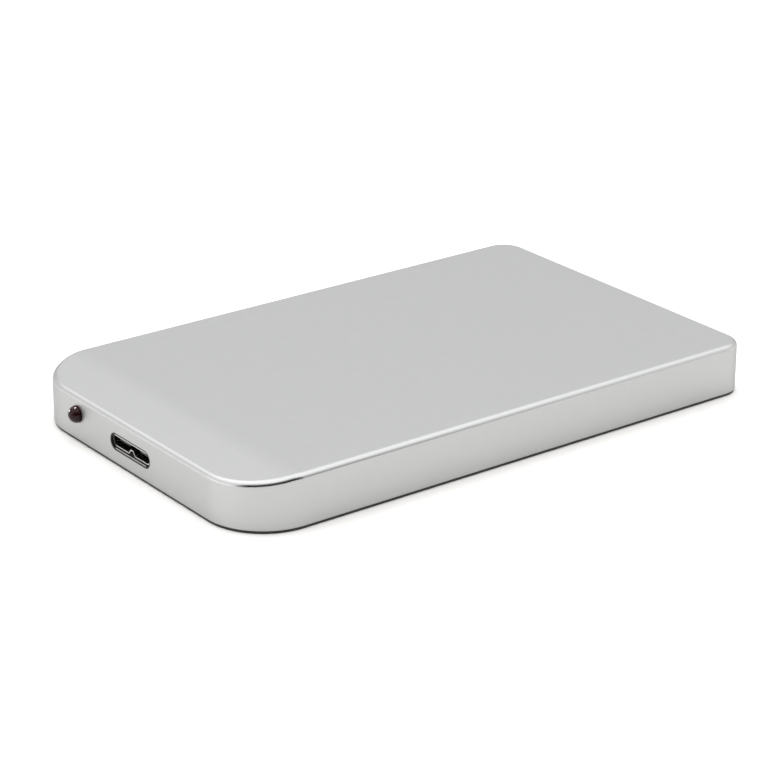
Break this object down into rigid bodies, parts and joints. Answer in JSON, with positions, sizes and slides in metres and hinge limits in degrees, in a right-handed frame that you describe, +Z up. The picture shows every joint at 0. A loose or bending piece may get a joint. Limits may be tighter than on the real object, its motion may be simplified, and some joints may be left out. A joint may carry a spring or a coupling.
{
  "type": "portable external hard drive",
  "caption": "Slim silver aluminium portable hard drive with a sloping nose, a USB micro-B port and a dark red domed status lamp in one short end.",
  "frame": {"origin": "centre of the flat underside, on the surface it lies on", "axes": "+Z up, +X from the port end to the rear end along the length, +Y across the width towards the lamp"},
  "size_m": [0.1219, 0.075, 0.0106],
  "materials": {
    "anodised_aluminium": "fine bead-blasted, clear anodised",
    "cast_aluminium": "machined casting",
    "steel": "bright plated sheet and screws",
    "mirror_disk": "polished sputtered disk",
    "magnet_plate": "nickel plated magnet",
    "contact_gold": "gold plated spring contacts",
    "copper_wire": "enamelled copper winding",
    "black_plastic": "moulded black",
    "white_plastic": "moulded natural white",
    "lamp_lens": "dark red clear dome",
    "circuit_board": "green solder mask",
    "chip_black": "moulded chip package",
    "soft_foam": "black foam",
    "soft_rubber": "black rubber"
  },
  "bodies": {
    "case": {"top_shell": "anodised_aluminium", "bottom_cover": "black_plastic", "cover_screws": "steel", "lower_pads": "soft_foam", "upper_pads": "soft_foam", "rear_bumpers": "soft_rubber", "port_bezel": "black_plastic", "usb_shell": "steel", "usb_tongue": "black_plastic", "usb_contacts": "contact_gold", "status_led": "lamp_lens", "led_leads": "steel", "bridge_board": "circuit_board", "bridge_screws": "steel", "bridge_chip": "chip_black", "bridge_flash": "chip_black", "bridge_crystal": "steel", "bridge_inductor": "chip_black", "bridge_passives": "chip_black", "sata_socket": "black_plastic", "sata_socket_contacts": "contact_gold", "sata_plug": "black_plastic", "sata_plug_contacts": "contact_gold", "drive_base": "cast_aluminium", "lid_gasket": "soft_rubber", "drive_lid": "steel", "lid_screws": "steel", "drive_board": "circuit_board", "board_screws": "steel", "drive_controller": "chip_black", "motor_driver": "chip_black", "cache_chip": "chip_black", "drive_passives": "chip_black", "bearing_sleeve": "steel", "stator_core": "steel", "stator_coils": "copper_wire", "pivot_post": "steel", "lower_yoke": "steel", "upper_yoke": "steel", "yoke_posts": "steel", "lower_magnet": "magnet_plate", "upper_magnet": "magnet_plate", "parking_ramp": "white_plastic"},
    "spindle": {"spindle_hub": "cast_aluminium", "rotor_magnet": "magnet_plate", "lower_platter": "mirror_disk", "platter_spacer": "cast_aluminium", "upper_platter": "mirror_disk", "disk_clamp": "steel", "clamp_screws": "steel"},
    "head_arm": {"arm_block": "cast_aluminium", "pivot_sleeve": "steel", "head_suspensions": "steel", "head_sliders": "chip_black", "voice_coil": "copper_wire", "coil_frame": "black_plastic"}
  },
  "joints": [
    {"name": "spindle_spin", "type": "hinge", "parent": "case", "child": "spindle", "pos_m": [0.0224, 0, 0.005], "axis": [0, 0, 1], "continuous": true},
    {"name": "arm_swing", "type": "hinge", "parent": "case", "child": "head_arm", "pos_m": [-0.02, -0.012, 0.005], "axis": [0, 0, 1], "range_deg": [-30, 0]}
  ]
}
